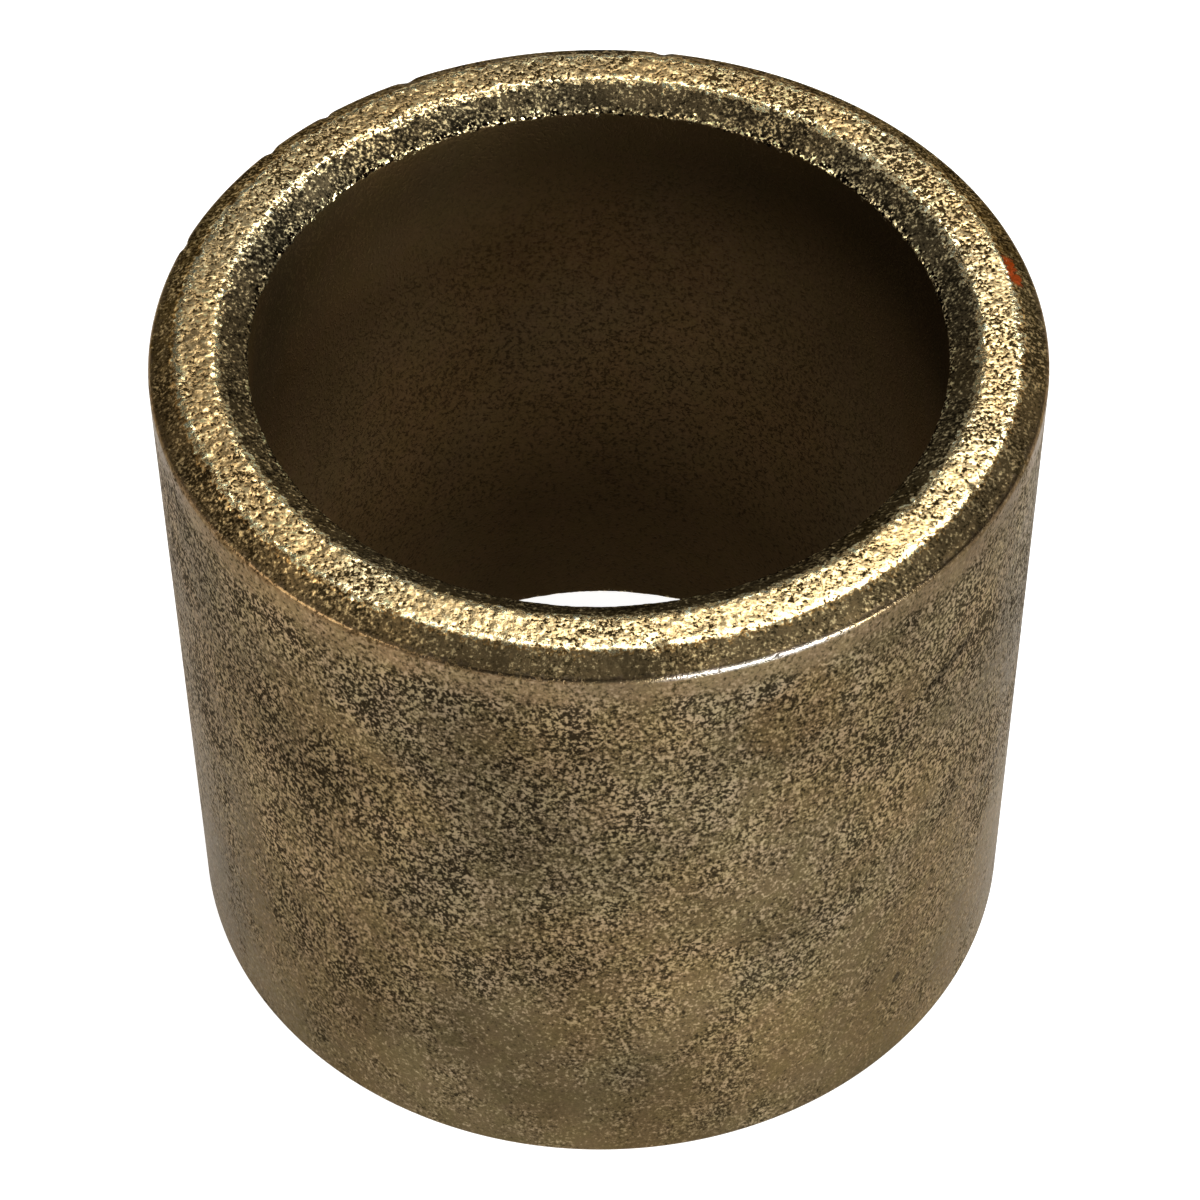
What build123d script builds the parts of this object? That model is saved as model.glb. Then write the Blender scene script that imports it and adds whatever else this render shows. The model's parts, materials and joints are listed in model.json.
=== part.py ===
"""Plain sleeve bushing of sintered, oil-impregnated bronze.

One solid ring of pressed and sized bronze powder. The outside presses into a housing and the
bore carries a turning shaft. Both ends are alike: a narrow flat end face between two shallow
chamfers, with the corners where the chamfers meet the bore and the outside wall rolled over
by the sizing die.

The axis is +Z, and the origin is on it, at the centre of the lower end face. Millimetres.
"""

from build123d import *
import os
from math import radians, tan

INCH = 25.4

# Driving dimensions: a stock 7/8 x 1-1/8 x 1 inch sleeve
BORE_DIAMETER = 7 / 8 * INCH
OUTER_DIAMETER = (1 + 1 / 8) * INCH
LENGTH = 1 * INCH

# End chamfers: the width is measured across the end face, the angle up from that face
BORE_CHAMFER_WIDTH = 1.02
OUTER_CHAMFER_WIDTH = 0.86
CHAMFER_ANGLE = 32.0

# Corners that the sizing tools leave between each chamfer and its wall
BORE_CORNER_RADIUS = 0.20
OUTER_CORNER_RADIUS = 0.30

bore_radius = BORE_DIAMETER / 2
outer_radius = OUTER_DIAMETER / 2
bore_chamfer_height = BORE_CHAMFER_WIDTH * tan(radians(CHAMFER_ANGLE))
outer_chamfer_height = OUTER_CHAMFER_WIDTH * tan(radians(CHAMFER_ANGLE))


def make_sleeve():
    """The ring: the section of its wall, turned about the axis."""
    face_inner_radius = bore_radius + BORE_CHAMFER_WIDTH
    face_outer_radius = outer_radius - OUTER_CHAMFER_WIDTH

    with BuildPart() as sleeve:
        with BuildSketch(Plane.XZ) as wall_section:
            with BuildLine():
                Polyline(
                    (bore_radius, bore_chamfer_height),
                    (bore_radius, LENGTH - bore_chamfer_height),
                    (face_inner_radius, LENGTH),
                    (face_outer_radius, LENGTH),
                    (outer_radius, LENGTH - outer_chamfer_height),
                    (outer_radius, outer_chamfer_height),
                    (face_outer_radius, 0),
                    (face_inner_radius, 0),
                    close=True,
                )
            make_face()
            columns = wall_section.vertices().group_by(Axis.X)
            bore_corners, outer_corners = columns[0], columns[-1]
            fillet(bore_corners, radius=BORE_CORNER_RADIUS)
            fillet(outer_corners, radius=OUTER_CORNER_RADIUS)
        revolve(axis=Axis.Z)
    sleeve.part.label = "sleeve"
    return sleeve


def main():
    os.makedirs("parts", exist_ok=True)
    sleeve = make_sleeve()
    export_step(sleeve.part, "parts/sleeve.step")
    print(f"sleeve volume {sleeve.part.volume:.1f} mm3")


main()
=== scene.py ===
"""Looks of a sintered bronze sleeve bushing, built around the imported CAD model.

One mesh stands for the CAD solid: the ring's section is turned about Z as a dense grid, and its rims
are roughened grain by grain. One procedural material finishes it by zone: bore, chamfers, end faces,
rolled corners, burnished bands and outside wall. Lengths are millimetres until a mesh, a lamp or the
camera is made, and metres from there on.
"""

import json
import math

import bpy
import numpy as np
from mathutils import Matrix, Vector, noise


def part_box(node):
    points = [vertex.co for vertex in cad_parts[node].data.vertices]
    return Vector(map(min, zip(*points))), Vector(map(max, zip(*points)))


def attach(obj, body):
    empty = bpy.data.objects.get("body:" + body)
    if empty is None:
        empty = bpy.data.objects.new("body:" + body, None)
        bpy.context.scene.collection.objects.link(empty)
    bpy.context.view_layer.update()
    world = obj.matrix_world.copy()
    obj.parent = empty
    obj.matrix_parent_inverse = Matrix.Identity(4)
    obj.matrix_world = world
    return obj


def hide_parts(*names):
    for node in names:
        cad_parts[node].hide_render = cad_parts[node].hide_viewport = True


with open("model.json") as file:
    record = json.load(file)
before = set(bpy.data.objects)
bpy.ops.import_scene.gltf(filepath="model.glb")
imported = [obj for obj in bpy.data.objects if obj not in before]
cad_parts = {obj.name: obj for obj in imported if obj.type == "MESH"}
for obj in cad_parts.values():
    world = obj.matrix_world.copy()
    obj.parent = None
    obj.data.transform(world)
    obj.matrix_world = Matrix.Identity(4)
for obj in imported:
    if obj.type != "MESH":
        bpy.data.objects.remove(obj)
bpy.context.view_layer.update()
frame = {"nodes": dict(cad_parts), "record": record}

MM = 0.001

# ---------------------------------------------------------------- sizes, from the frame

low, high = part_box("sleeve")
record_mounts = {mount["name"]: mount for mount in frame["record"]["mounts"]}
cad_points = [vertex.co / MM for vertex in frame["nodes"]["sleeve"].data.vertices]

LENGTH = (high.z - low.z) / MM
OUTER_RADIUS = (high.x - low.x) / 2 / MM
BORE_RADIUS = record_mounts["bore"]["dims"]["r_mm"]
face_radii = [math.hypot(p.x, p.y) for p in cad_points if p.z > LENGTH - 0.001]
FACE_INNER_RADIUS = min(face_radii)
FACE_OUTER_RADIUS = max(face_radii)
CHAMFER_SLOPE = math.tan(math.radians(32))
BORE_CHAMFER_HEIGHT = (FACE_INNER_RADIUS - BORE_RADIUS) * CHAMFER_SLOPE
OUTER_CHAMFER_HEIGHT = (OUTER_RADIUS - FACE_OUTER_RADIUS) * CHAMFER_SLOPE
BORE_CORNER_RADIUS = 0.20
OUTER_CORNER_RADIUS = 0.30
FACE_INNER_CORNER_RADIUS = 0.20
FACE_OUTER_CORNER_RADIUS = 0.40


# ---------------------------------------------------------------- camera

CAMERA_ELEVATION = 48.1
CAMERA_DISTANCE = 134.2
CAMERA_ROLL = -0.32
CAMERA_LENS = 118.2
AIM_HEIGHT = 12.6


def make_camera():
    """A long lens close to the part, looking down on it from the front."""
    elevation = math.radians(CAMERA_ELEVATION)
    back = Vector((0, -math.cos(elevation), math.sin(elevation)))
    data = bpy.data.cameras.new("camera")
    data.lens = CAMERA_LENS
    data.clip_start = 0.01
    data.clip_end = 10
    camera = bpy.data.objects.new("camera", data)
    camera.rotation_mode = "QUATERNION"
    camera.location = (Vector((0, 0, AIM_HEIGHT)) + back * CAMERA_DISTANCE) * MM
    roll = Matrix.Rotation(math.radians(CAMERA_ROLL), 3, "Z")
    camera.rotation_quaternion = (back.to_track_quat("Z", "Y").to_matrix() @ roll).to_quaternion()
    bpy.context.scene.collection.objects.link(camera)
    bpy.context.scene.camera = camera


# ---------------------------------------------------------------- the ring's section

# The upper rim faces the camera's side and is meshed finer, at about half the grain's spacing.
FINE = dict(columns=1152, spacing=0.080, corner_steps=1.0)
COARSE = dict(columns=576, spacing=0.150, corner_steps=0.6)
WALL_ROWS = 11
BORE_ROWS = 6


def run(start, end, spacing):
    """Points from start up to, but not including, end, about a spacing apart."""
    start, end = np.array(start), np.array(end)
    steps = max(1, round(float(np.linalg.norm(end - start)) / spacing))
    return [start + (end - start) * step / steps for step in range(steps)]


def corner(before, point, after, radius, steps):
    """The tangent arc that rounds the corner at point."""
    point = np.array(point)
    back = np.array(before) - point
    on = np.array(after) - point
    back /= np.linalg.norm(back)
    on /= np.linalg.norm(on)
    half = math.acos(float(back @ on)) / 2
    middle = (back + on) / np.linalg.norm(back + on)
    centre = point + middle * radius / math.sin(half)
    start = point + back * radius / math.tan(half) - centre
    end = point + on * radius / math.tan(half) - centre
    sweep = math.pi - 2 * half
    return [
        centre
        + (start * math.sin(sweep * (1 - t)) + end * math.sin(sweep * t)) / math.sin(sweep)
        for t in np.linspace(0, 1, steps + 1)
    ]


def rim_section(spacing, corner_steps):
    """Radius and height of the upper rim's points, from the top of the bore to the top of the wall."""
    bore_end = (BORE_RADIUS, LENGTH - BORE_CHAMFER_HEIGHT)
    face_in = (FACE_INNER_RADIUS, LENGTH)
    face_out = (FACE_OUTER_RADIUS, LENGTH)
    wall_end = (OUTER_RADIUS, LENGTH - OUTER_CHAMFER_HEIGHT)
    arcs = [
        corner((BORE_RADIUS, 0), bore_end, face_in, BORE_CORNER_RADIUS, round(4 * corner_steps)),
        corner(bore_end, face_in, face_out, FACE_INNER_CORNER_RADIUS, round(3 * corner_steps)),
        corner(face_in, face_out, wall_end, FACE_OUTER_CORNER_RADIUS, round(4 * corner_steps)),
        corner(face_out, wall_end, (OUTER_RADIUS, 0), OUTER_CORNER_RADIUS, round(6 * corner_steps)),
    ]
    points = []
    for arc, following in zip(arcs, arcs[1:]):
        points += arc[:-1] + run(arc[-1], following[0], spacing)
    return np.array(points + arcs[-1])


def wall_section(radius, rim_height, rows):
    """Wall points from mid-length to just short of the rim, closer together towards the rim."""
    middle = LENGTH / 2
    share = np.arange(rows) / rows
    heights = middle + (rim_height - middle) * (1 - (1 - share) ** 2.2)
    return np.stack([np.full(rows, radius), heights], axis=1)


def outward(section):
    """Unit normals of an open section, pointing out of the bronze."""
    along = np.gradient(section, axis=0)
    normals = np.stack([-along[:, 1], along[:, 0]], axis=1)
    return normals / np.linalg.norm(normals, axis=1)[:, None]


# ---------------------------------------------------------------- relief of the rims

# How far apart the grains and the slow swells are, and how deep each kind of relief goes.
GRAIN_SPACING = 0.19
PIT_DEPTH = 0.021
CHAMFER_DEPTH = 0.040
SWELL_SPACING = 1.6
SWELL_DEPTH = 0.035

# Dents and chips of the upper rim: angle in degrees, radius, width and depth.
NICKS = (
    (277.0, FACE_OUTER_RADIUS - 0.05, 0.22, 0.12),
    (329.5, FACE_OUTER_RADIUS - 0.02, 0.20, 0.10),
    (81.0, OUTER_RADIUS - 0.05, 0.20, 0.09),
    (117.0, OUTER_RADIUS - 0.05, 0.25, 0.08),
    (130.0, OUTER_RADIUS - 0.05, 0.18, 0.07),
    (140.0, OUTER_RADIUS - 0.05, 0.22, 0.08),
    (161.0, OUTER_RADIUS - 0.05, 0.25, 0.09),
)


def grain_height(x, y, z):
    """The grains at each place: about 0 on average, and mostly within -0.7 to 0.7."""
    values = np.empty(x.size)
    for i, place in enumerate(zip(x.flat, y.flat, z.flat)):
        place = Vector(place) / GRAIN_SPACING
        values[i] = noise.noise(place) + 0.5 * noise.noise(place * 2.2)
    return values.reshape(x.shape)


def swell_height(x, y, z):
    """Slow unevenness of the rims, within -1 to 1."""
    places = zip(x.flat, y.flat, z.flat)
    values = [noise.noise(Vector(place) / SWELL_SPACING) for place in places]
    return np.array(values).reshape(x.shape)


def rim_depth(radius, grain, swell):
    """How far the rough surface lies under the smooth one.

    The faces have pits, and the chamfers have rough grain. Both swell slowly up and down.
    """
    rough_share = np.interp(
        radius,
        [BORE_RADIUS, BORE_RADIUS + 0.05, BORE_RADIUS + 0.20, FACE_INNER_RADIUS - 0.20,
         FACE_INNER_RADIUS - 0.05, FACE_INNER_RADIUS + 0.05, FACE_INNER_RADIUS + 0.18,
         FACE_OUTER_RADIUS - 0.15, FACE_OUTER_RADIUS + 0.15, OUTER_RADIUS - 0.30, OUTER_RADIUS - 0.08],
        [0.2, 0.8, 0.35, 0.35, 0.8, 0.35, 0.0, 0.0, 0.85, 0.8, 0.0],
    )
    pit_share = np.interp(
        radius,
        [FACE_INNER_RADIUS - 0.05, FACE_INNER_RADIUS + 0.05,
         FACE_OUTER_RADIUS - 0.10, FACE_OUTER_RADIUS + 0.05],
        [0.0, 1.0, 0.8, 0.0],
    )
    pits = np.clip(0.10 - grain, 0, 0.6) / 0.6
    roughness = np.clip(0.5 - 0.7 * grain, 0, 1)
    depth = pit_share * PIT_DEPTH * pits + rough_share * CHAMFER_DEPTH * roughness
    depth += (pit_share * 0.3 + rough_share) * SWELL_DEPTH * np.clip(0.5 + swell, 0, 1)
    return depth


def nick_depth(radius, angle):
    """How deep the dents and chips are at each place."""
    depth = np.zeros(angle.shape)
    for degrees, nick_radius, width, deepest in NICKS:
        turn = (angle - math.radians(degrees) + math.pi) % (2 * math.pi) - math.pi
        away = np.hypot(turn * nick_radius, radius - nick_radius)
        depth += deepest * np.exp(-((away / width) ** 2))
    return depth


# ---------------------------------------------------------------- the ring's mesh


def ring_points(section, columns):
    """Radii, angles and heights of a section turned about Z, one row per section point."""
    angle = np.arange(columns) * 2 * math.pi / columns
    radius = section[:, :1] * np.ones(columns)
    height = section[:, 1:] * np.ones(columns)
    angle = angle * np.ones((len(section), 1))
    return radius, angle, height


def rough_rim(detail, upside_down, nicked):
    """The rows of one rim: places in millimetres, and grain heights."""
    section = rim_section(detail["spacing"], detail["corner_steps"])
    normals = outward(section)
    radius, angle, height = ring_points(section, detail["columns"])
    if upside_down:
        height = LENGTH - height
        normals = normals * (1, -1)
    x, y = radius * np.cos(angle), radius * np.sin(angle)
    grain = grain_height(x, y, height)
    depth = rim_depth(radius, grain, swell_height(x, y, height))
    if nicked:
        depth += nick_depth(radius, angle)
    radius = radius - depth * normals[:, :1]
    height = height - depth * normals[:, 1:]
    return np.stack([radius * np.cos(angle), radius * np.sin(angle), height], axis=-1), grain


def smooth_wall(section):
    """The rows of a stretch of wall, which has no relief."""
    radius, angle, height = ring_points(section, COARSE["columns"])
    places = np.stack([radius * np.cos(angle), radius * np.sin(angle), height], axis=-1)
    return places, np.zeros(radius.shape)


def strip(lower_first, lower_count, upper_first, upper_count):
    """Faces between two rows of vertices, each given by its first vertex and its number of columns."""
    lower = lower_first + np.arange(lower_count + 1) % lower_count
    upper = upper_first + np.arange(upper_count + 1) % upper_count
    if lower_count == upper_count:
        return np.stack([lower[:-1], upper[:-1], upper[1:], lower[1:]], axis=1).tolist()
    if lower_count < upper_count:
        near, middle, far = upper[:-1:2], upper[1::2], upper[2::2]
        sides = [(lower[:-1], near, middle), (lower[:-1], middle, lower[1:]), (lower[1:], middle, far)]
    else:
        near, middle, far = lower[:-1:2], lower[1::2], lower[2::2]
        sides = [(near, upper[:-1], middle), (middle, upper[:-1], upper[1:]), (middle, upper[1:], far)]
    return [face for side in sides for face in np.stack(side, axis=1).tolist()]


def make_ring():
    """The whole sleeve, as one closed surface."""
    section = rim_section(FINE["spacing"], FINE["corner_steps"])
    bore = wall_section(BORE_RADIUS, section[0][1], BORE_ROWS)
    wall = wall_section(OUTER_RADIUS, section[-1][1], WALL_ROWS)
    mirrored = np.array((1, -1))
    shift = np.array((0, LENGTH))
    stretches = [
        smooth_wall(bore),
        rough_rim(FINE, False, True),
        smooth_wall(wall[::-1]),
        smooth_wall((wall * mirrored + shift)[1:]),
        rough_rim(COARSE, True, False),
        smooth_wall((bore * mirrored + shift)[:0:-1]),
    ]
    # the lower rim's rows run from the bore outwards, so they are turned round
    places, grain = stretches[4]
    stretches[4] = places[::-1], grain[::-1]
    rows = [row for places, grain in stretches for row in places]
    grains = np.concatenate([grain.ravel() for places, grain in stretches])
    firsts = np.cumsum([0] + [len(row) for row in rows])
    faces = []
    for i in range(len(rows)):
        after = (i + 1) % len(rows)
        faces += strip(firsts[i], len(rows[i]), firsts[after], len(rows[after]))
    mesh = bpy.data.meshes.new("bronze_sleeve")
    mesh.from_pydata((np.concatenate(rows) * MM).tolist(), [], faces)
    mesh.shade_smooth()
    mesh.attributes.new("grain", "FLOAT", "POINT").data.foreach_set("value", grains.astype(np.float32))
    ring = bpy.data.objects.new("bronze_sleeve", mesh)
    bpy.context.scene.collection.objects.link(ring)
    return ring


# ---------------------------------------------------------------- node helpers


class Nodes:
    """Short ways to add shader nodes to one material and wire them together."""

    def __init__(self, name):
        self.material = bpy.data.materials.new(name)
        self.material.use_nodes = True
        self.tree = self.material.node_tree
        self.shader = self.tree.nodes["Principled BSDF"]

    def plug(self, socket, value):
        """Wires value to the socket if it is another node's output, or else sets it there."""
        if isinstance(value, bpy.types.NodeSocket):
            self.tree.links.new(value, socket)
        elif isinstance(value, tuple) and socket.type == "RGBA":
            socket.default_value = (*value, 1)
        else:
            socket.default_value = value

    def add(self, kind, values=(), **settings):
        made = self.tree.nodes.new(kind)
        for name, value in settings.items():
            setattr(made, name, value)
        for socket, value in dict(values).items():
            self.plug(made.inputs[socket], value)
        return made

    def math(self, operation, first, second=0.0, clamp=False):
        values = {0: first, 1: second}
        return self.add("ShaderNodeMath", values, operation=operation, use_clamp=clamp).outputs[0]

    def vector(self, operation, first, second=None, scale=None):
        values = {0: first}
        if second is not None:
            values[1] = second
        if scale is not None:
            values["Scale"] = scale
        return self.add("ShaderNodeVectorMath", values, operation=operation).outputs[0]

    def step(self, value, start, end, low_value=0.0, high_value=1.0):
        """A smooth step from low_value at start to high_value at end."""
        values = {"Value": value, "From Min": start, "From Max": end}
        values.update({"To Min": low_value, "To Max": high_value})
        node = self.add("ShaderNodeMapRange", values, interpolation_type="SMOOTHSTEP")
        return node.outputs["Result"]

    def band(self, value, start, end, edge):
        """1 between start and end, and 0 outside them, with edges that wide."""
        rise = self.step(value, start - edge / 2, start + edge / 2)
        fall = self.step(value, end - edge / 2, end + edge / 2, 1.0, 0.0)
        return self.math("MULTIPLY", rise, fall)

    def blend(self, share, first, second):
        """A colour between first and second."""
        node = self.add("ShaderNodeMix", data_type="RGBA")
        self.plug(node.inputs["Factor"], share)
        self.plug(node.inputs[6], first)
        self.plug(node.inputs[7], second)
        return node.outputs[2]

    def between(self, share, first, second):
        """A number between first and second."""
        node = self.add("ShaderNodeMix", data_type="FLOAT")
        self.plug(node.inputs["Factor"], share)
        self.plug(node.inputs[2], first)
        self.plug(node.inputs[3], second)
        return node.outputs[0]

    def noise(self, place, size, detail=2.0, roughness=0.5, distortion=0.0):
        """Perlin noise, about 0.5 on average, whose blobs are about size across."""
        values = {"Vector": place, "Scale": 0.5 / size, "Detail": detail}
        values.update({"Roughness": roughness, "Distortion": distortion})
        return self.add("ShaderNodeTexNoise", values).outputs["Fac"]

    def cells(self, place, size):
        """A Voronoi pattern of cells about size across."""
        return self.add("ShaderNodeTexVoronoi", {"Vector": place, "Scale": 1 / size})


# ---------------------------------------------------------------- bronze

MID_RADIUS = (BORE_RADIUS + OUTER_RADIUS) / 2

# How each zone of the surface is finished. dark, body and bright are the colours of its pores, plain
# metal and bare grains; pores and flecks are the grain heights under which a pore opens and over
# which a grain shines; tilt is how far its grains lean, and roughness how dull they are.
FINISHES = {
    "wall": dict(
        dark=(0.026, 0.018, 0.009), body=(0.088, 0.062, 0.029), bright=(0.195, 0.144, 0.081),
        pores=0.375, flecks=0.61, tilt=0.12, roughness=0.40,
    ),
    "burnish": dict(
        dark=(0.064, 0.044, 0.020), body=(0.136, 0.093, 0.047), bright=(0.180, 0.128, 0.072),
        pores=0.24, flecks=0.72, tilt=0.04, roughness=0.32,
    ),
    "bore": dict(
        dark=(0.066, 0.040, 0.016), body=(0.071, 0.043, 0.017), bright=(0.075, 0.046, 0.019),
        pores=0.34, flecks=0.66, tilt=0.03, roughness=0.55,
    ),
    "chamfer": dict(
        dark=(0.040, 0.027, 0.011), body=(0.120, 0.081, 0.036), bright=(0.42, 0.31, 0.15),
        pores=0.40, flecks=0.71, tilt=0.20, roughness=0.42,
    ),
    "inner_chamfer": dict(
        dark=(0.028, 0.021, 0.011), body=(0.097, 0.072, 0.037), bright=(0.56, 0.45, 0.24),
        pores=0.38, flecks=0.75, tilt=0.13, roughness=0.42,
    ),
    "corner": dict(
        dark=(0.080, 0.050, 0.021), body=(0.132, 0.086, 0.041), bright=(0.17, 0.12, 0.065),
        pores=0.24, flecks=0.70, tilt=0.0, roughness=0.24,
    ),
    # painted highlight: the outer corner's front-right stretch, paler and greyer so the lamp's line on it
    # reads white
    "painted_highlight_corner": dict(
        dark=(0.10, 0.080, 0.060), body=(0.185, 0.153, 0.120), bright=(0.25, 0.21, 0.17),
        pores=0.26, flecks=0.70, tilt=0.0, roughness=0.20,
    ),
    "rust": dict(
        dark=(0.060, 0.032, 0.010), body=(0.28, 0.155, 0.048), bright=(0.65, 0.41, 0.16),
        pores=0.36, flecks=0.66, tilt=0.2, roughness=0.35,
    ),
    "fringe": dict(
        dark=(0.004, 0.002, 0.001), body=(0.100, 0.073, 0.035), bright=(0.88, 0.69, 0.37),
        pores=0.51, flecks=0.58, tilt=0.6, roughness=0.32,
    ),
    "face": dict(
        dark=(0.080, 0.052, 0.020), body=(0.67, 0.465, 0.21), bright=(0.80, 0.61, 0.32),
        pores=0.41, flecks=0.62, tilt=0.10, roughness=0.28,
    ),
    "lip": dict(
        dark=(0.20, 0.13, 0.055), body=(0.88, 0.67, 0.34), bright=(1.0, 0.86, 0.52),
        pores=0.34, flecks=0.58, tilt=0.14, roughness=0.25,
    ),
}

# How much the metal shines at a glancing view: on the walls, on the rims and on the outer chamfer.
EDGE_TINT = (0.66, 0.61, 0.55)
RIM_EDGE_TINT = (0.55, 0.47, 0.36)
DULL_EDGE_TINT = (0.42, 0.38, 0.33)

# Sizes of the patterns in the finish.
RIM_GRAIN = 0.10
WALL_GRAIN = 0.08
FINE_GRAIN = 0.05
FACET = 0.11
CLUMP = 1.2
MOTTLE = 0.5
BLOTCH = 0.55
PATCH = 2.6
BROAD_PATCH = 3.4

# The wall is worn smooth from the first height down to the second, and its pores crowd from the
# third height up to the fourth.
WORN_FROM, WORN_TO = 13.0, 2.0
DENSE_FROM, DENSE_TO = 13.0, 20.0

# The rim is rubbed brighter on the side this direction points to, where the outer corner also gets a
# painted highlight. The distances are how far over to that side the rubbing and the painted highlight
# start and are full, on the rim and on the outer corner.
POLISHED_AND_HIGHLIT_SIDE = (0.329, -0.944, 0)
POLISHED_FROM, POLISHED_TO = 4.0, 13.0
HIGHLIGHT_CORNER_FROM, HIGHLIGHT_CORNER_TO = 13.80, 14.14

PORE_ROUGHNESS = 0.75
BUMP_STRENGTH = 0.35
BUMP_DEPTH = 0.03


def on_wall(degrees, depth, radius=OUTER_RADIUS):
    """The point at an angle, a depth below the upper face and a radius, which is the wall's by default."""
    angle = math.radians(degrees)
    return radius * math.cos(angle), radius * math.sin(angle), LENGTH - depth


# A brown patch of the wall with few pores, and a red stain on the outer chamfer.
BARE_PATCH = on_wall(295, 3.4)
RED_MARK = on_wall(11.6, 0.15, 13.5)
RED = (0.42, 0.078, 0.020)

# Old scratches and a pit of the wall: angle, depth below the face, length, width, how steeply it
# climbs to the right in degrees, and its tone (under 1 is darker than the wall, and over 1 lighter).
SCRATCHES = (
    dict(angle=319.3, depth=5.55, length=2.8, width=0.55, climb=17, tone=0.36),
    dict(angle=336.5, depth=14.8, length=2.0, width=0.34, climb=26, tone=0.40),
    dict(angle=294.0, depth=17.4, length=2.2, width=0.20, climb=-50, tone=1.5),
    dict(angle=316.7, depth=8.3, length=1.2, width=0.26, climb=0, tone=1.5),
    dict(angle=314.0, depth=20.5, length=0.50, width=0.36, climb=60, tone=0.22),
)


def surface_places(n):
    """Where a point is on the sleeve, in millimetres: its place, height, and distance across the section.

    The distance across is the radius on the rims, and goes on down the walls: up from the outer
    corner on the outside and down from the bore corner in the bore.
    """
    place = n.vector("SCALE", n.add("ShaderNodeTexCoord").outputs["Object"], scale=1 / MM)
    height = n.add("ShaderNodeSeparateXYZ", {0: place}).outputs["Z"]
    level = n.vector("MULTIPLY", place, (1, 1, 0))
    radius = n.add("ShaderNodeVectorMath", {0: level}, operation="LENGTH").outputs["Value"]
    from_middle = n.math("ABSOLUTE", n.math("SUBTRACT", height, LENGTH / 2))
    depth = n.math("SUBTRACT", LENGTH / 2, from_middle)
    down_wall = n.math("MAXIMUM", n.math("SUBTRACT", depth, OUTER_CHAMFER_HEIGHT), 0.0)
    down_bore = n.math("MAXIMUM", n.math("SUBTRACT", depth, BORE_CHAMFER_HEIGHT), 0.0)
    across = n.between(
        n.math("GREATER_THAN", radius, MID_RADIUS),
        n.math("SUBTRACT", radius, down_bore),
        n.math("ADD", radius, down_wall),
    )
    return place, height, across


def centred(n, value, amount):
    """Noise moved to vary about 0, by up to about half the amount."""
    return n.math("MULTIPLY", n.math("SUBTRACT", value, 0.5), amount)


def distance(n, place, point):
    return n.add("ShaderNodeVectorMath", {0: place, 1: point}, operation="DISTANCE").outputs["Value"]


def dot(n, place, direction):
    """How far a place lies along a direction."""
    values = {0: place, 1: direction}
    return n.add("ShaderNodeVectorMath", values, operation="DOT_PRODUCT").outputs["Value"]


def scratch_share(n, place, scratch):
    """1 inside a scratch of the wall, and 0 outside it."""
    angle, climb = math.radians(scratch["angle"]), math.radians(scratch["climb"])
    rightward = Vector((-math.sin(angle), math.cos(angle), 0))
    upward = Vector((0, 0, 1))
    along = rightward * math.cos(climb) + upward * math.sin(climb)
    across = upward * math.cos(climb) - rightward * math.sin(climb)
    out = Vector((math.cos(angle), math.sin(angle), 0))
    away = n.vector("SUBTRACT", place, on_wall(scratch["angle"], scratch["depth"]))
    reach = centred(n, n.noise(place, 0.15, 2), 1.2)
    # the reach outwards keeps the scratch off the other side of the ring
    for direction, size in ((along, scratch["length"]), (across, scratch["width"]), (out, 2.0)):
        side = dot(n, away, tuple(direction * 2 / size))
        reach = n.math("ADD", reach, n.math("POWER", n.math("ABSOLUTE", side), 2.0))
    return n.step(reach, 1.1, 0.5)


def finish_zones(n, place, height, across, polished_and_highlit_reach):
    """How far each zone's finish covers the plain wall's, with ragged granular borders.

    Also gives the ragged distance across the section that most borders follow.
    """
    ragged = n.math("ADD", across, centred(n, n.noise(place, 0.11, 3, 0.6), 0.9))
    spiky = n.math("ADD", across, centred(n, n.noise(place, 0.15, 3, 0.7), 1.35))
    wavy = n.math("ADD", across, centred(n, n.noise(place, 0.9, 4, 0.6), 1.5))
    corner_zone = n.band(across, OUTER_RADIUS - 0.10, OUTER_RADIUS + 0.10, 0.05)
    return ragged, {
        "burnish": n.math(
            "MULTIPLY",
            n.band(wavy, OUTER_RADIUS - 0.3, OUTER_RADIUS + 0.95, 0.7),
            n.math("GREATER_THAN", height, LENGTH / 2),
        ),
        "bore": n.step(across, BORE_RADIUS - 0.06, BORE_RADIUS, 1.0, 0.0),
        "chamfer": n.band(ragged, FACE_OUTER_RADIUS, OUTER_RADIUS - 0.14, 0.08),
        "inner_chamfer": n.band(ragged, BORE_RADIUS, FACE_INNER_RADIUS, 0.08),
        "corner": corner_zone,
        # painted highlight along the outer corner on the front-right side, broken up by noise
        "painted_highlight_corner": n.math(
            "MULTIPLY",
            n.math("MULTIPLY", corner_zone, n.step(polished_and_highlit_reach, HIGHLIGHT_CORNER_FROM, HIGHLIGHT_CORNER_TO)),
            n.step(n.noise(place, 0.22, 3, 0.6), 0.30, 0.47),
        ),
        "rust": n.band(ragged, FACE_OUTER_RADIUS - 0.05, FACE_OUTER_RADIUS + 0.08, 0.08),
        "fringe": n.band(ragged, BORE_RADIUS - 0.05, BORE_RADIUS + 0.13, 0.05),
        "face": n.band(ragged, FACE_INNER_RADIUS - 0.02, FACE_OUTER_RADIUS, 0.06),
        "lip": n.math(
            "ADD",
            n.band(spiky, FACE_INNER_RADIUS - 0.11, FACE_INNER_RADIUS + 0.10, 0.05),
            n.band(ragged, FACE_OUTER_RADIUS - 0.20, FACE_OUTER_RADIUS, 0.06),
        ),
    }


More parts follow.
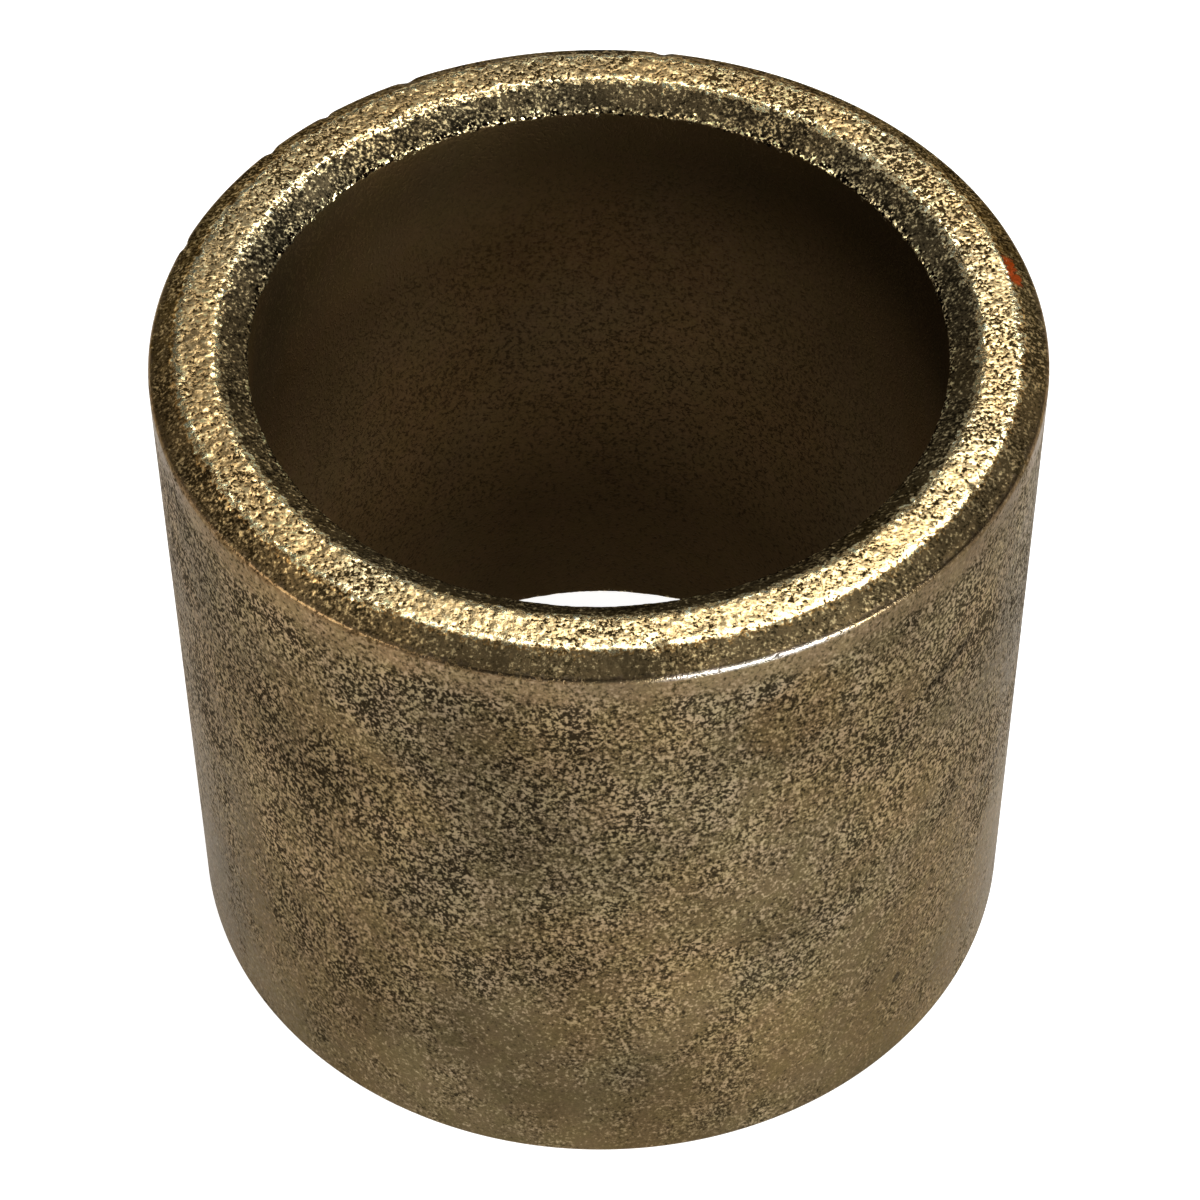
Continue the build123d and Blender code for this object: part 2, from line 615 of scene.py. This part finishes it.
def grain_pattern(n, place, worn, on_rim):
    """The grain, about 0.5 on average, and its finest part.

    On the rims it follows the mesh's own relief, and on the walls it is noise.
    """
    relief = n.add("ShaderNodeAttribute", attribute_name="grain").outputs["Fac"]
    relief = n.math("ADD", n.math("MULTIPLY", relief, 0.18), 0.5)
    relief = n.math("ADD", relief, centred(n, n.noise(place, RIM_GRAIN, 2, 0.55), 0.9))
    drawn = n.vector("MULTIPLY", place, (1, 1, 0.88))
    coarseness = n.between(worn, 1.45, 0.8)
    coarse = n.math("ADD", centred(n, n.noise(drawn, WALL_GRAIN, 2, 0.6), coarseness), 0.5)
    fine = n.noise(drawn, FINE_GRAIN, 2, 0.6)
    fineness = n.between(on_rim, n.between(worn, 1.25, 0.75), 2.0)
    grain = n.math("ADD", n.between(on_rim, coarse, relief), centred(n, fine, fineness))
    return grain, fine


def pore_crowding(n, clumps, zones, worn, dense, bare, polish):
    """How much more than usual the pores crowd: in clumps, and fewer where the bronze is worn."""
    crowding = n.math("SUBTRACT", centred(n, clumps, 1.25), n.math("MULTIPLY", worn, 0.09))
    crowding = n.math("ADD", crowding, n.math("MULTIPLY", dense, 0.045))
    crowding = n.math("SUBTRACT", crowding, n.math("MULTIPLY", bare, 0.10))
    crowding = n.math("MULTIPLY", crowding, n.between(zones["bore"], 1.0, 0.25))
    return n.math("SUBTRACT", crowding, n.math("MULTIPLY", polish, 0.13))


def bore_painted_shading(n, place, height):
    """Painted light and shade in the bore: dark at top, lighter mid-way and on the left, dark at the foot.
    """
    tone = n.math(
        "MULTIPLY",
        n.step(height, 23.5, 18.5, 0.42, 1.15),
        n.step(height, 17.0, 5.0, 1.0, 0.28),
    )
    # painted bounced light, lighter towards the bore's left side
    leftward = dot(n, place, (-1, 0, 0))
    return n.math("MULTIPLY", tone, n.step(leftward, 2.0, 10.0, 1.0, 1.7))


def tone_pattern(n, place, height, grain, zones, worn, dense, on_rim):
    """How light the bronze is, about 1 on average: patches, blotches, painted light and shade in the bore,
    scratches.
    """
    patches = n.noise(n.vector("SUBTRACT", place, (0, 0, 5.0)), PATCH, 3, 0.55)
    blotches = n.noise(place, BLOTCH, 2, 0.5)
    patchy = n.between(on_rim, 1.7, n.between(zones["face"], 1.0, 0.3))
    blotchy = n.between(on_rim, 0.25, n.between(zones["face"], 1.7, 0.8))
    tone = n.math("ADD", centred(n, patches, patchy), centred(n, grain, 0.9))
    tone = n.math("ADD", tone, centred(n, blotches, blotchy))
    tone = n.math("ADD", n.math("MULTIPLY", tone, n.between(zones["bore"], 1.0, 0.35)), 1.04)
    # a little darker towards the bottom
    tone = n.math("ADD", tone, n.math("MULTIPLY", worn, -0.02))
    tone = n.math("SUBTRACT", tone, n.math("MULTIPLY", dense, 0.07))
    # the bore's painted light and shade
    tone = n.math("MULTIPLY", tone, n.between(zones["bore"], 1.0, bore_painted_shading(n, place, height)))
    for scratch in SCRATCHES:
        share = scratch_share(n, place, scratch)
        tone = n.math("MULTIPLY", tone, n.between(share, 1.0, scratch["tone"]))
    return tone


def tint_pattern(n, place, bare, on_rim):
    """Greyer and browner bronze, with a browner bare patch."""
    mottle = n.step(n.noise(place, MOTTLE, 4, 0.6), 0.35, 0.65)
    tint = n.blend(mottle, (0.985, 1.0, 0.95), (1.02, 0.99, 1.03))
    tint = n.blend(on_rim, tint, (1.0, 1.0, 1.0))
    broad = n.step(n.noise(place, BROAD_PATCH, 2, 0.5), 0.38, 0.62)
    tint = n.vector("MULTIPLY", tint, n.blend(broad, (0.97, 1.0, 1.05), (1.03, 0.99, 0.94)))
    return n.vector("MULTIPLY", tint, n.blend(bare, (1.0, 1.0, 1.0), (1.02, 0.93, 0.82)))


def grain_normal(n, place, tilt, height):
    """Normals that lean from grain to grain and dip into the pores."""
    lean = n.vector("SUBTRACT", n.cells(place, FACET).outputs["Color"], (0.5, 0.5, 0.5))
    lean = n.vector("SCALE", lean, scale=tilt)
    upright = n.add("ShaderNodeNewGeometry").outputs["Normal"]
    leaning = n.vector("NORMALIZE", n.vector("ADD", upright, lean))
    values = {"Strength": BUMP_STRENGTH, "Distance": BUMP_DEPTH * MM, "Height": height, "Normal": leaning}
    return n.add("ShaderNodeBump", values).outputs["Normal"]


def sleeve_material():
    """Sintered bronze: gold grains on the end faces, dark granular chamfers, brown worn walls."""
    n = Nodes("sintered_bronze")
    place, height, across = surface_places(n)
    polished_and_highlit_reach = dot(n, place, POLISHED_AND_HIGHLIT_SIDE)
    ragged, zones = finish_zones(n, place, height, across, polished_and_highlit_reach)

    def finish(name):
        """One property of the finish, over the whole sleeve."""
        mix = n.blend if isinstance(FINISHES["wall"][name], tuple) else n.between
        value = FINISHES["wall"][name]
        for zone, share in zones.items():
            value = mix(share, value, FINISHES[zone][name])
        return value

    # where the bronze is rim, worn, densely pored, bare or polished
    on_rim = n.band(across, BORE_RADIUS, OUTER_RADIUS - 0.15, 0.1)
    on_outside = n.math("GREATER_THAN", across, OUTER_RADIUS)
    worn = n.step(height, WORN_FROM, WORN_TO, 0.0, 1.0)
    dense = n.math("MULTIPLY", n.step(height, DENSE_FROM, DENSE_TO), on_outside)
    clumps = n.noise(n.vector("MULTIPLY", place, (1, 1, 0.8)), CLUMP, 5, 0.65)
    bare_distance = n.math("ADD", distance(n, place, BARE_PATCH), centred(n, clumps, 2.5))
    bare = n.step(bare_distance, 2.2, 1.2)
    polish = n.math("MULTIPLY", n.step(polished_and_highlit_reach, POLISHED_FROM, POLISHED_TO), on_rim)

    # pores are the low grains and flecks the high ones
    grain, fine = grain_pattern(n, place, worn, on_rim)
    crowding = pore_crowding(n, clumps, zones, worn, dense, bare, polish)
    pore_level = n.math("ADD", finish("pores"), crowding)
    softness = n.between(on_rim, 0.17, 0.09)
    closed, opened = n.math("ADD", pore_level, softness), n.math("SUBTRACT", pore_level, softness)
    pores = n.step(grain, opened, closed, 1.0, 0.0)
    fleck_level = n.math("SUBTRACT", finish("flecks"), n.math("MULTIPLY", crowding, 0.4))
    flecks = n.step(grain, n.math("SUBTRACT", fleck_level, 0.12), n.math("ADD", fleck_level, 0.12))
    colour = n.blend(flecks, finish("body"), finish("bright"))
    colour = n.blend(pores, colour, finish("dark"))

    tint = tint_pattern(n, place, bare, on_rim)
    tone = tone_pattern(n, place, height, grain, zones, worn, dense, on_rim)
    colour = n.vector("SCALE", n.vector("MULTIPLY", colour, tint), scale=tone)
    red_distance = distance(n, place, RED_MARK)
    red = n.math("MULTIPLY", n.step(red_distance, 0.80, 0.50), n.band(ragged, 13.40, 13.74, 0.08))
    n.plug(n.shader.inputs["Base Color"], n.blend(red, colour, RED))

    n.shader.inputs["Metallic"].default_value = 1.0
    dull = n.band(ragged, FACE_OUTER_RADIUS - 0.12, OUTER_RADIUS - 0.14, 0.08)
    edge = n.blend(dull, n.blend(on_rim, EDGE_TINT, RIM_EDGE_TINT), DULL_EDGE_TINT)
    n.plug(n.shader.inputs["Specular Tint"], edge)
    n.plug(n.shader.inputs["Roughness"], n.between(pores, finish("roughness"), PORE_ROUGHNESS))
    tilt = n.math("MULTIPLY", finish("tilt"), n.between(polish, 1.0, 0.55))
    normal = grain_normal(n, place, tilt, n.math("SUBTRACT", fine, pores))
    n.plug(n.shader.inputs["Normal"], normal)
    return n.material


# ---------------------------------------------------------------- floor and light

# The floor glows most around the part and less beyond: distances and strengths.
FLOOR_SIZE = 4
FLOOR_GREY = 0.5
GLOW_FROM, GLOW_TO = 0.10, 0.30
GLOW_NEAR, GLOW_FAR = 0.95, 0.45

# The surroundings are bright at the horizon and dim from this rise of the view upwards.
HORIZON_RISE, SKY_RISE = 0.02, 0.34
HORIZON_LIGHT, SKY_LIGHT = 0.72, 0.05

# Soft lamps: azimuth and elevation in degrees, distance and size in metres, power in watts, colour.
# Azimuth 0 is in front, 90 on the right and 180 behind.
LAMPS = (
    ("back_softbox", 146, 72, 0.6, (0.50, 0.40), 0.65, (1, 1, 1)),
    ("back_key", 145, 62, 0.3, (0.20, 0.14), 0.33, (1, 1, 1)),
    ("left_back", 255, 50, 0.6, (0.30, 0.30), 0.12, (1, 1, 1)),
    ("left_front", 290, 26, 0.6, (0.40, 0.30), 1.5, (1.0, 0.97, 0.90)),
    ("front_window", 39, 10, 0.6, (0.42, 0.15), 8.3, (0.86, 0.95, 1.0)),
    ("front_fill", 40, 35, 0.6, (0.40, 0.30), 0.65, (1, 1, 1)),
)


def ramp(nodes, links, value, start, end, low_value, high_value):
    """A smooth ramp from low_value at start to high_value at end."""
    node = nodes.new("ShaderNodeMapRange")
    node.interpolation_type = "SMOOTHSTEP"
    links.new(value, node.inputs["Value"])
    settings = {"From Min": start, "From Max": end, "To Min": low_value, "To Max": high_value}
    for socket, setting in settings.items():
        node.inputs[socket].default_value = setting
    return node.outputs["Result"]


def make_floor():
    """A pale floor that glows around the part, which isn't part of it."""
    bpy.ops.mesh.primitive_plane_add(size=FLOOR_SIZE)
    floor = bpy.context.object
    floor.name = "floor"
    material = bpy.data.materials.new("floor")
    material.use_nodes = True
    nodes, links = material.node_tree.nodes, material.node_tree.links
    shader = nodes["Principled BSDF"]
    shader.inputs["Base Color"].default_value = (FLOOR_GREY, FLOOR_GREY, FLOOR_GREY, 1)
    shader.inputs["Roughness"].default_value = 0.9
    shader.inputs["Emission Color"].default_value = (1, 1, 1, 1)
    away = nodes.new("ShaderNodeVectorMath")
    away.operation = "LENGTH"
    links.new(nodes.new("ShaderNodeTexCoord").outputs["Object"], away.inputs[0])
    glow = ramp(nodes, links, away.outputs["Value"], GLOW_FROM, GLOW_TO, GLOW_NEAR, GLOW_FAR)
    links.new(glow, shader.inputs["Emission Strength"])
    floor.data.materials.append(material)


def make_lamp(name, azimuth, elevation, distance, size, watts, colour):
    """A soft rectangular lamp aimed at the part."""
    a, e = math.radians(azimuth), math.radians(elevation)
    away = Vector((math.sin(a) * math.cos(e), -math.cos(a) * math.cos(e), math.sin(e)))
    data = bpy.data.lights.new(name, "AREA")
    data.shape = "RECTANGLE"
    data.size, data.size_y = size
    data.energy = watts
    data.color = colour
    light = bpy.data.objects.new(name, data)
    light.location = away * distance + Vector((0, 0, LENGTH / 2 * MM))
    light.rotation_mode = "QUATERNION"
    light.rotation_quaternion = away.to_track_quat("Z", "Y")
    bpy.context.scene.collection.objects.link(light)


def make_light():
    """Surroundings that fade from the horizon up, and the lamps."""
    world = bpy.data.worlds.new("studio")
    world.use_nodes = True
    nodes, links = world.node_tree.nodes, world.node_tree.links
    parts = nodes.new("ShaderNodeSeparateXYZ")
    links.new(nodes.new("ShaderNodeTexCoord").outputs["Generated"], parts.inputs[0])
    rise = parts.outputs["Z"]
    level = ramp(nodes, links, rise, HORIZON_RISE, SKY_RISE, HORIZON_LIGHT, SKY_LIGHT)
    background = nodes["Background"]
    background.inputs["Color"].default_value = (1, 1, 1, 1)
    links.new(level, background.inputs["Strength"])
    bpy.context.scene.world = world
    for lamp in LAMPS:
        make_lamp(*lamp)


# ---------------------------------------------------------------- the scene

make_camera()
ring = make_ring()
ring.data.materials.append(sleeve_material())
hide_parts("sleeve")
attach(ring, "root")
make_floor()
make_light()
bpy.context.scene.view_settings.view_transform = "Standard"
